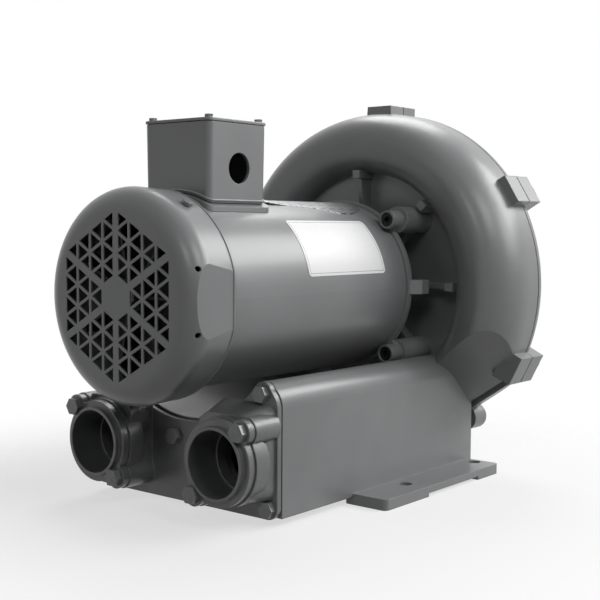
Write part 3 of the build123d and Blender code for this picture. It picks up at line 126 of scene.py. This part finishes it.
# sprayed enamel: two near tones, orange peel, soft edges, and the casting's own surface under it
def enamel(name, look):
    coat = enamelCoat
    material, tree, shader, place = newMaterial(name)
    drift = grain(tree, place, look["driftSize"], 2.0)
    dark = (coat["toneFrom"], hexColour(look["dark"]))
    light = (coat["toneTo"], hexColour(look["light"]))
    speck = grain(tree, place, look["speckSize"], 4.0)
    clean = (coat["dustFrom"], (0, 0, 0, 1))
    dusty = (coat["dustTo"], (look["dust"],) * 3 + (1,))
    paint = ramp(tree, drift, dark, light)
    tone = mixColours(tree, ramp(tree, speck, clean, dusty), paint, hexColour(look["dustTone"]))
    tree.links.new(tone, shader.inputs["Base Color"])
    gloss = addNode(tree, "ShaderNodeMapRange", Value=drift, i3=look["rough"] - coat["glossBelow"],
                    i4=look["rough"] + coat["glossAbove"])
    tree.links.new(gloss.outputs[0], shader.inputs["Roughness"])
    shader.inputs["Coat Weight"].default_value = look["coat"]
    shader.inputs["Coat Roughness"].default_value = look["coatRough"]
    peelGrain = grain(tree, place, look["peelSize"], 2.0)
    peel = addBump(tree, look["peel"], coat["peelDepth"], peelGrain, softEdges(tree, look["edge"]))
    sandGrain = grain(tree, place, look["sandSize"], 5.0, 0.6)
    sand = addBump(tree, look["sand"], coat["sandDepth"], sandGrain, peel)
    tree.links.new(sand, shader.inputs["Normal"])
    return material


# satin grey enamel sprayed on rolled steel: even, slightly rippled, clean highlights
steelEnamel = enamel("satin enamel on sheet steel", {
    "dark": "#7f8081", "light": "#868788", "driftSize": 90,
    "speckSize": 2.2, "dust": 0.06, "dustTone": "#a9a9a8",
    "rough": 0.36, "coat": 0.25, "coatRough": 0.22, "edge": 0.8,
    "peel": 0.16, "peelSize": 2.4, "sand": 0.0, "sandSize": 1.0,
})

# the same enamel on die-cast aluminium: a little more drift and a faint cast skin under it
castEnamel = enamel("satin enamel on cast aluminium", {
    "dark": "#7c7d7e", "light": "#858687", "driftSize": 70,
    "speckSize": 1.6, "dust": 0.08, "dustTone": "#a6a6a5",
    "rough": 0.37, "coat": 0.25, "coatRough": 0.24, "edge": 1.4,
    "peel": 0.20, "peelSize": 2.8, "sand": 0.12, "sandSize": 1.4,
})

# enamel over sand-cast iron: coarse grain that glitters where it faces the lamps
ironEnamel = enamel("enamel on sand cast iron", {
    "dark": "#626364", "light": "#707172", "driftSize": 40,
    "speckSize": 1.2, "dust": 0.12, "dustTone": "#8f8f8e",
    "rough": 0.32, "coat": 0.40, "coatRough": 0.22, "edge": 2.0,
    "peel": 0.15, "peelSize": 3.0, "sand": 1.0, "sandSize": 1.3,
})

# bolts sprayed over with the machine: same paint, sharper edges
boltEnamel = enamel("enamel on zinc plated bolts", {
    "dark": "#7a7b7c", "light": "#8b8c8d", "driftSize": 9,
    "speckSize": 1.0, "dust": 0.12, "dustTone": "#aeaeac",
    "rough": 0.33, "coat": 0.35, "coatRough": 0.22, "edge": 0.7,
    "peel": 0.20, "peelSize": 1.6, "sand": 0.08, "sandSize": 0.8,
})

# what all the bare metals share
metalMarks = {"toneFrom": 0.30, "toneTo": 0.72, "glossBelow": 0.06, "glossAbove": 0.08, "depth": 0.05}


# bare or plated metal with fine turning or rolling marks along one axis
def bareMetal(name, look):
    material, tree, shader, place = newMaterial(name)
    stretch = addNode(tree, "ShaderNodeMapping", Vector=place, Scale=look["stretch"]).outputs[0]
    marks = grain(tree, stretch, look["markSize"], 4.0)
    dark = (metalMarks["toneFrom"], hexColour(look["dark"]))
    light = (metalMarks["toneTo"], hexColour(look["light"]))
    tree.links.new(ramp(tree, marks, dark, light), shader.inputs["Base Color"])
    gloss = addNode(tree, "ShaderNodeMapRange", Value=marks, i3=look["rough"] - metalMarks["glossBelow"],
                    i4=look["rough"] + metalMarks["glossAbove"])
    tree.links.new(gloss.outputs[0], shader.inputs["Roughness"])
    shader.inputs["Metallic"].default_value = look["metallic"]
    bump = addBump(tree, look["bump"], metalMarks["depth"], marks, softEdges(tree, look["edge"]))
    tree.links.new(bump, shader.inputs["Normal"])
    return material


groundSteel = bareMetal("ground bearing steel", {
    "dark": "#b9babc", "light": "#dcdddf", "stretch": (1, 0.05, 1), "markSize": 0.4,
    "rough": 0.18, "metallic": 1.0, "edge": 0.3, "bump": 0.15,
})
turnedSteel = bareMetal("turned shaft steel", {
    "dark": "#9a9b9d", "light": "#c4c5c7", "stretch": (0.05, 1, 0.05), "markSize": 0.5,
    "rough": 0.28, "metallic": 1.0, "edge": 0.3, "bump": 0.25,
})
castAluminium = bareMetal("as cast aluminium", {
    "dark": "#a3a4a5", "light": "#c8c9ca", "stretch": (1, 1, 1), "markSize": 1.2,
    "rough": 0.42, "metallic": 1.0, "edge": 0.6, "bump": 0.5,
})
stackedSheet = bareMetal("stacked lamination steel", {
    "dark": "#6d6e70", "light": "#97989a", "stretch": (0.02, 1, 0.02), "markSize": 0.7,
    "rough": 0.40, "metallic": 1.0, "edge": 0.2, "bump": 0.6,
})
windingCopper = bareMetal("varnished copper winding", {
    "dark": "#8a4a26", "light": "#b8713f", "stretch": (1, 1, 1), "markSize": 0.9,
    "rough": 0.35, "metallic": 0.7, "edge": 0.4, "bump": 0.8,
})
blackOxide = bareMetal("black oxide screws", {
    "dark": "#1d1e1f", "light": "#343536", "stretch": (1, 1, 1), "markSize": 0.6,
    "rough": 0.38, "metallic": 0.8, "edge": 0.3, "bump": 0.2,
})
brushedPlate = bareMetal("brushed aluminium plate", {
    "dark": "#8f9092", "light": "#c9cacb", "stretch": (1, 0.06, 1), "markSize": 0.5,
    "rough": 0.34, "metallic": 0.9, "edge": 0.2, "bump": 0.35,
})


def shaderOf(material):
    return next(node for node in material.node_tree.nodes if node.type == "BSDF_PRINCIPLED")


# blank fields pressed into the plate: a grid of raised boxes with grooves between them, and painted shade in
# the grooves, which are coloured near black
def pressFields(material, look):
    tree = material.node_tree
    shader = shaderOf(material)
    place = addNode(tree, "ShaderNodeTexCoord").outputs["Object"]
    fields = addNode(tree, "ShaderNodeTexBrick", {"offset": 0.5, "squash": 1.0}, Vector=place, Scale=1.0,
                     Color1=(1, 1, 1, 1), Color2=(1, 1, 1, 1), Mortar=(0, 0, 0, 1),
                     Mortar_Size=look["groove"] * mm, Mortar_Smooth=look["soft"],
                     Brick_Width=look["width"] * mm, Row_Height=look["row"] * mm).outputs[0]
    plain = shader.inputs["Base Color"].links[0].from_socket
    # painted shade: the pressed grooves get a near-black colour that stands in for the shade inside them
    grooveShaded = mixColours(tree, fields, hexColour(look["grooveShadeTone"]), plain)
    tree.links.new(grooveShaded, shader.inputs["Base Color"])
    under = shader.inputs["Normal"].links[0].from_socket
    tree.links.new(addBump(tree, 1.0, look["depth"], fields, under), shader.inputs["Normal"])


pressFields(brushedPlate, {
    "width": 17, "row": 7.5, "groove": 0.5, "soft": 0.3, "depth": 0.4, "grooveShadeTone": "#2c2d2e",
})

# what all the plain stuffs share
stuffGrain = {"toneFrom": 0.30, "toneTo": 0.70, "depth": 0.1}


# plain moulded or pressed stuff: one tone with a fine grain
def plainStuff(name, look):
    material, tree, shader, place = newMaterial(name)
    fine = grain(tree, place, look["grainSize"], 3.0)
    dark = (stuffGrain["toneFrom"], hexColour(look["dark"]))
    light = (stuffGrain["toneTo"], hexColour(look["light"]))
    tree.links.new(ramp(tree, fine, dark, light), shader.inputs["Base Color"])
    shader.inputs["Roughness"].default_value = look["rough"]
    bump = addBump(tree, look["bump"], stuffGrain["depth"], fine, softEdges(tree, look["edge"]))
    tree.links.new(bump, shader.inputs["Normal"])
    return material


fibreGasket = plainStuff("compressed fibre gasket", {
    "dark": "#141414", "light": "#222222", "grainSize": 0.9, "rough": 0.7, "edge": 0.1, "bump": 0.4,
})
sealRubber = plainStuff("nitrile seal rubber", {
    "dark": "#161616", "light": "#202020", "grainSize": 0.5, "rough": 0.5, "edge": 0.2, "bump": 0.1,
})
openFoam = plainStuff("open cell foam", {
    "dark": "#1a1a1b", "light": "#3a3a3b", "grainSize": 1.6, "rough": 0.95, "edge": 0.5, "bump": 1.0,
})
fanNylon = plainStuff("moulded black nylon", {
    "dark": "#0e0e0f", "light": "#161617", "grainSize": 0.8, "rough": 0.55, "edge": 0.5, "bump": 0.12,
})
boardPhenolic = plainStuff("phenolic terminal board", {
    "dark": "#2a211b", "light": "#3a2e26", "grainSize": 1.0, "rough": 0.5, "edge": 0.4, "bump": 0.15,
})
labelVinyl = plainStuff("white vinyl label", {
    "dark": "#f4f4f4", "light": "#fbfbfb", "grainSize": 1.5, "rough": 0.42, "edge": 0.1, "bump": 0.03,
})


# a thin keyline printed inside the label's edge, drawn from the piece's own flat coordinates
def printKeyline(material, look):
    tree = material.node_tree
    shader = shaderOf(material)
    flat = addNode(tree, "ShaderNodeUVMap", {"uv_map": "flat"}).outputs[0]
    folded = addVectorMath(tree, "ABSOLUTE", flat).outputs[0]
    acrossHalf = (look["halfWidth"] - look["inset"]) * mm
    alongHalf = (look["halfLength"] - look["inset"]) * mm
    past = addVectorMath(tree, "SUBTRACT", folded, (acrossHalf, alongHalf, mm)).outputs[0]
    parts = addNode(tree, "ShaderNodeSeparateXYZ", Vector=past)
    fromLine = addMath(tree, "ABSOLUTE", addMath(tree, "MAXIMUM", parts.outputs[0], parts.outputs[1]))
    line = addMath(tree, "LESS_THAN", fromLine, look["lineWidth"] / 2 * mm)
    plain = shader.inputs["Base Color"].links[0].from_socket
    tree.links.new(mixColours(tree, line, plain, hexColour(look["ink"])), shader.inputs["Base Color"])


slotMaterials = {
    "housing_paint": castEnamel, "motor_paint": steelEnamel, "iron_paint": ironEnamel,
    "dark_gasket": fibreGasket, "zinc_bolts": boltEnamel, "black_screws": blackOxide,
    "muffler_foam": openFoam, "lamination_steel": stackedSheet, "copper_winding": windingCopper,
    "bearing_steel": groundSteel, "seal_rubber": sealRubber,
    "terminal_plastic": boardPhenolic, "white_label": labelVinyl, "plate_metal": brushedPlate,
    "shaft_steel": turnedSteel, "cast_aluminium": castAluminium, "fan_plastic": fanNylon,
}
for part in frame["record"]["subparts"]:
    nodes[part["node"]].data.materials.clear()
    nodes[part["node"]].data.materials.append(slotMaterials[part["material_slot"]])


sharpFrom = 35  # degrees between two faces from which their edge is drawn sharp


# puts a finished mesh into the scene as one named piece on a body
def addPiece(name, shape, material, body):
    mesh = bpy.data.meshes.new(name)
    bmesh.ops.recalc_face_normals(shape, faces=shape.faces)
    shape.to_mesh(mesh)
    shape.free()
    for face in mesh.polygons:
        face.use_smooth = True
    mesh.set_sharp_from_angle(angle=math.radians(sharpFrom))
    return placePiece(name, mesh, material, body)


def placePiece(name, data, material, body):
    piece = bpy.data.objects.new(name, data)
    bpy.context.scene.collection.objects.link(piece)
    data.materials.append(material)
    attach(piece, body)
    return piece


# a round bead that follows a closed path, as a folded hem or a rolled lip does
def addBead(name, path, radius, material, body):
    line = bpy.data.curves.new(name, "CURVE")
    line.dimensions = "3D"
    line.bevel_depth = radius * mm
    line.bevel_resolution = 3
    spline = line.splines.new("POLY")
    spline.points.add(len(path) - 1)
    for point, place in zip(spline.points, path):
        point.co = (*(v * mm for v in place), 1)
    spline.use_cyclic_u = True
    return placePiece(name, line, material, body)


# the outline of a rounded rectangle, corner by corner, with its sides along X cut into steps if asked
def roundedRectangle(halfWidth, halfLength, corner, cornerPoints, sidePoints=1):
    outline = []
    inX = halfWidth - corner
    inY = halfLength - corner
    for number, (signX, signY) in enumerate([(1, 1), (-1, 1), (-1, -1), (1, -1)]):
        for step in range(cornerPoints + 1):
            turn = math.pi / 2 * (number + step / cornerPoints)
            outline.append((signX * inX + corner * math.cos(turn), signY * inY + corner * math.sin(turn)))
        if number % 2 == 0:
            steps = [1 - 2 * k / sidePoints for k in range(1, sidePoints)]
            outline += [(signX * inX * share, signY * halfLength) for share in steps]
    return outline


shaftHeight = 190.5  # millimetres above the floor

# folded hem round the back edge of the fan cover, with the cover's two flats
coverHem = {"radius": 90.0, "flat": 86.9, "y": -262.3, "bead": 0.9, "points": 180}


def flatSidedRing(look):
    ring = []
    for step in range(look["points"]):
        turn = 2 * math.pi * step / look["points"]
        across = max(-look["flat"], min(look["flat"], look["radius"] * math.cos(turn)))
        ring.append((across, look["y"], shaftHeight + look["radius"] * math.sin(turn)))
    return ring


addBead("fan_cover_hem", flatSidedRing(coverHem), coverHem["bead"], steelEnamel, "stand")
print("fan cover hem made")

# rim of the fan end bell, which stands proud of the shell and leaves the cooling air a slit
bellRim = {
    "inner": 82.0, "outer": 87.0, "flat": 84.6, "front": -266.0, "back": -257.6, "edge": 0.5, "points": 120,
}


def makeBellRim(look):
    shape = bmesh.new()
    centre = (0, 0, shaftHeight * mm)
    corners = [(look["inner"], look["front"]), (look["outer"], look["front"])]
    corners += [(look["outer"], look["back"]), (look["inner"], look["back"])]
    profile = [shape.verts.new((r * mm, y * mm, shaftHeight * mm)) for r, y in corners]
    for a, b in zip(profile, profile[1:] + profile[:1]):
        shape.edges.new((a, b))
    bmesh.ops.bevel(shape, geom=profile, offset=look["edge"] * mm, segments=2, profile=0.5,
                    affect="VERTICES", material=-1)
    bmesh.ops.spin(shape, geom=shape.verts[:] + shape.edges[:], cent=centre, axis=(0, 1, 0),
                   angle=2 * math.pi, steps=look["points"], use_merge=True)
    for vert in shape.verts:
        vert.co.x = max(-look["flat"] * mm, min(look["flat"] * mm, vert.co.x))
    return addPiece("fan_bell_rim", shape, steelEnamel, "stand")


makeBellRim(bellRim)
print("fan bell rim made")

# rolled lip at the foot of the conduit box, on the arch that the saddle makes
boxLip = {
    "halfWidth": 38.9, "halfLength": 36.5, "middleY": -204.75, "corner": 5.3, "seat": 90.2, "bead": 1.1,
    "cornerPoints": 8, "sidePoints": 24,
}


def archedRectangle(look):
    outline = roundedRectangle(look["halfWidth"], look["halfLength"], look["corner"], look["cornerPoints"],
                               look["sidePoints"])
    return [(x, look["middleY"] + y, shaftHeight + math.sqrt(look["seat"] ** 2 - x ** 2)) for x, y in outline]


addBead("conduit_box_lip", archedRectangle(boxLip), boxLip["bead"], steelEnamel, "stand")
print("conduit box lip made")

# bare label with rounded corners, cut flat and then wrapped on the shell
labelLook = {
    "seat": 83.07, "thick": 0.24, "from": 10.5, "to": 51.0, "y0": -158.0, "y1": -41.0, "corner": 4.0,
    "slices": 36, "cornerPoints": 6, "inset": 2.6, "lineWidth": 0.45, "ink": "#8d8d8d", "sameSpot": 1e-7,
}


def makeLabel(look):
    halfWidth = math.radians(look["to"] - look["from"]) / 2 * look["seat"]
    halfLength = (look["y1"] - look["y0"]) / 2
    printKeyline(labelVinyl, {**look, "halfWidth": halfWidth, "halfLength": halfLength})
    shape = bmesh.new()
    outline = roundedRectangle(halfWidth, halfLength, look["corner"], look["cornerPoints"])
    shape.faces.new([shape.verts.new((x * mm, y * mm, 0)) for x, y in outline])
    for cut in range(1, look["slices"]):
        across = halfWidth * (2 * cut / look["slices"] - 1)
        bmesh.ops.bisect_plane(shape, geom=shape.verts[:] + shape.edges[:] + shape.faces[:],
                               dist=look["sameSpot"], plane_co=(across * mm, 0, 0), plane_no=(1, 0, 0))
    raised = bmesh.ops.extrude_face_region(shape, geom=shape.faces[:])["geom"]
    top = [part for part in raised if isinstance(part, bmesh.types.BMVert)]
    bmesh.ops.translate(shape, verts=top, vec=(0, 0, look["thick"] * mm))
    flat = shape.loops.layers.uv.new("flat")
    for face in shape.faces:
        for corner in face.loops:
            corner[flat].uv = (corner.vert.co.x, corner.vert.co.y)
    wrapLabel(shape, look)
    label = addPiece("side_label_sheet", shape, labelVinyl, "stand")
    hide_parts("side_label")
    return label


# bends the flat sheet round the shaft axis onto the shell
def wrapLabel(shape, look):
    middleTurn = math.radians(look["from"] + look["to"]) / 2
    middleY = (look["y0"] + look["y1"]) / 2 * mm
    for vert in shape.verts:
        turn = middleTurn + vert.co.x / (look["seat"] * mm)
        radius = look["seat"] * mm + vert.co.z
        vert.co = (radius * math.cos(turn), middleY + vert.co.y, shaftHeight * mm + radius * math.sin(turn))


makeLabel(labelLook)
print("label made")

# floor that keeps the shadow near the machine and fades into the white behind it
floorLook = {
    "size": 4.0, "tone": "#f4f4f4", "bounceTone": "#6e6e6e", "rough": 0.85, "middle": (0.0, -0.085, 0.0),
    "half": (0.12, 0.16, 0.0), "solidTo": 0.03, "goneAt": 0.42, "glow": 0.62,
}


# 1 for rays that show the studio itself: straight from the camera, mirrored, or through glass
def seenRays(tree):
    path = addNode(tree, "ShaderNodeLightPath")
    mirrored = addMath(tree, "MAXIMUM", path.outputs["Is Camera Ray"], path.outputs["Is Glossy Ray"])
    return addMath(tree, "MAXIMUM", mirrored, path.outputs["Is Transmission Ray"])


# 0 near the machine's own rectangle on the floor, 1 far from it
def floorFade(tree, place, look):
    fromMiddle = addVectorMath(tree, "SUBTRACT", place, look["middle"]).outputs[0]
    folded = addVectorMath(tree, "ABSOLUTE", fromMiddle).outputs[0]
    outside = addVectorMath(tree, "SUBTRACT", folded, look["half"]).outputs[0]
    clipped = addVectorMath(tree, "MAXIMUM", outside, (0.0, 0.0, 0.0)).outputs[0]
    distance = addVectorMath(tree, "LENGTH", clipped).outputs["Value"]
    return addNode(tree, "ShaderNodeMapRange", {"interpolation_type": "SMOOTHSTEP"}, Value=distance,
                   i1=look["solidTo"], i2=look["goneAt"]).outputs[0]


# the paper glows a little for the rays that show it, so that the shadow on it stays light
def makeFloor(look):
    mesh = bpy.data.meshes.new("floor")
    shape = bmesh.new()
    bmesh.ops.create_grid(shape, x_segments=2, y_segments=2, size=look["size"] / 2)
    shape.to_mesh(mesh)
    shape.free()
    floor = bpy.data.objects.new("floor", mesh)
    bpy.context.scene.collection.objects.link(floor)
    material, tree, shader, place = newMaterial("pale paper floor")
    seenDirect = seenRays(tree)
    tone = mixColours(tree, seenDirect, hexColour(look["bounceTone"]), hexColour(look["tone"]))
    tree.links.new(tone, shader.inputs["Base Color"])
    shader.inputs["Roughness"].default_value = look["rough"]
    share = addMath(tree, "MULTIPLY", seenDirect, look["glow"])
    paper = addNode(tree, "ShaderNodeEmission", Color=(1, 1, 1, 1), Strength=1.0)
    lifted = addNode(tree, "ShaderNodeMixShader", i0=share, i1=shader.outputs[0], i2=paper.outputs[0])
    clear = addNode(tree, "ShaderNodeBsdfTransparent")
    fade = floorFade(tree, place, look)
    mixed = addNode(tree, "ShaderNodeMixShader", i0=fade, i1=lifted.outputs[0], i2=clear.outputs[0])
    output = next(node for node in tree.nodes if node.type == "OUTPUT_MATERIAL")
    tree.links.new(mixed.outputs[0], output.inputs[0])
    mesh.materials.append(material)


makeFloor(floorLook)

# white studio paper for the camera and for reflections, a very dim plain sky for the light
worldLook = {"seen": 1.0, "ambient": 0.01}
world = bpy.data.worlds.new("studio")
bpy.context.scene.world = world
world.use_nodes = True
sky = world.node_tree
sky.nodes.clear()
plainSky = addNode(sky, "ShaderNodeBackground", Color=(1, 1, 1, 1), Strength=worldLook["ambient"])
whitePaper = addNode(sky, "ShaderNodeBackground", Color=(1, 1, 1, 1), Strength=worldLook["seen"])
seen = addNode(sky, "ShaderNodeMixShader", i0=seenRays(sky), i1=plainSky.outputs[0], i2=whitePaper.outputs[0])
addNode(sky, "ShaderNodeOutputWorld", Surface=seen.outputs[0])

# what the lamps aim at, and how far they stand from it, in metres
lampAim = {"target": (0.0, -0.1, 0.2), "distance": 2.2}

# lamps stand round the machine by azimuth from +X and height, in degrees, with their sizes in metres
lamps = {
    "camera side box": {"azimuth": -60, "elevation": 30, "width": 0.6, "height": 0.5, "watts": 4.2},
    "right front box": {"azimuth": -10, "elevation": 38, "width": 0.8, "height": 0.7, "watts": 10},
    "right soft box": {"azimuth": 30, "elevation": 25, "width": 1.0, "height": 0.8, "watts": 12},
    "right rear box": {"azimuth": 55, "elevation": 35, "width": 1.2, "height": 0.9, "watts": 25},
    "rear box": {"azimuth": 120, "elevation": 50, "width": 1.0, "height": 1.0, "watts": 15},
}


def softBox(name, look):
    lamp = bpy.data.lights.new(name, "AREA")
    lamp.shape = "RECTANGLE"
    lamp.size = look["width"]
    lamp.size_y = look["height"]
    lamp.energy = look["watts"]
    holder = bpy.data.objects.new(name, lamp)
    turn = math.radians(look["azimuth"])
    lift = math.radians(look["elevation"])
    away = Vector((math.cos(lift) * math.cos(turn), math.cos(lift) * math.sin(turn), math.sin(lift)))
    holder.location = Vector(lampAim["target"]) + away * lampAim["distance"]
    holder.rotation_euler = away.to_track_quat("Z", "Y").to_euler()
    bpy.context.scene.collection.objects.link(holder)


for name, look in lamps.items():
    softBox(name, look)

# where the camera stands in metres, and its turns in degrees from looking along +Y
cameraLook = {
    "place": (0.6909, -0.9219, 0.2518), "yaw": 39.06, "pitch": -3.906, "roll": 0.378,
    "focalPixels": 1109.0, "imagePixels": 600, "sensor": 36.0, "nearest": 0.01,
}


def makeCamera(look):
    lens = bpy.data.cameras.new("camera")
    lens.sensor_width = look["sensor"]
    lens.lens = look["focalPixels"] * look["sensor"] / look["imagePixels"]
    lens.clip_start = look["nearest"]
    holder = bpy.data.objects.new("camera", lens)
    yaw = Matrix.Rotation(math.radians(look["yaw"]), 4, "Z")
    pitch = Matrix.Rotation(math.radians(90 + look["pitch"]), 4, "X")
    roll = Matrix.Rotation(math.radians(look["roll"]), 4, "Z")
    holder.matrix_world = Matrix.Translation(look["place"]) @ yaw @ pitch @ roll
    bpy.context.scene.collection.objects.link(holder)
    bpy.context.scene.camera = holder


makeCamera(cameraLook)
bpy.context.scene.view_settings.view_transform = "Standard"
print("stage, lamps and camera set")
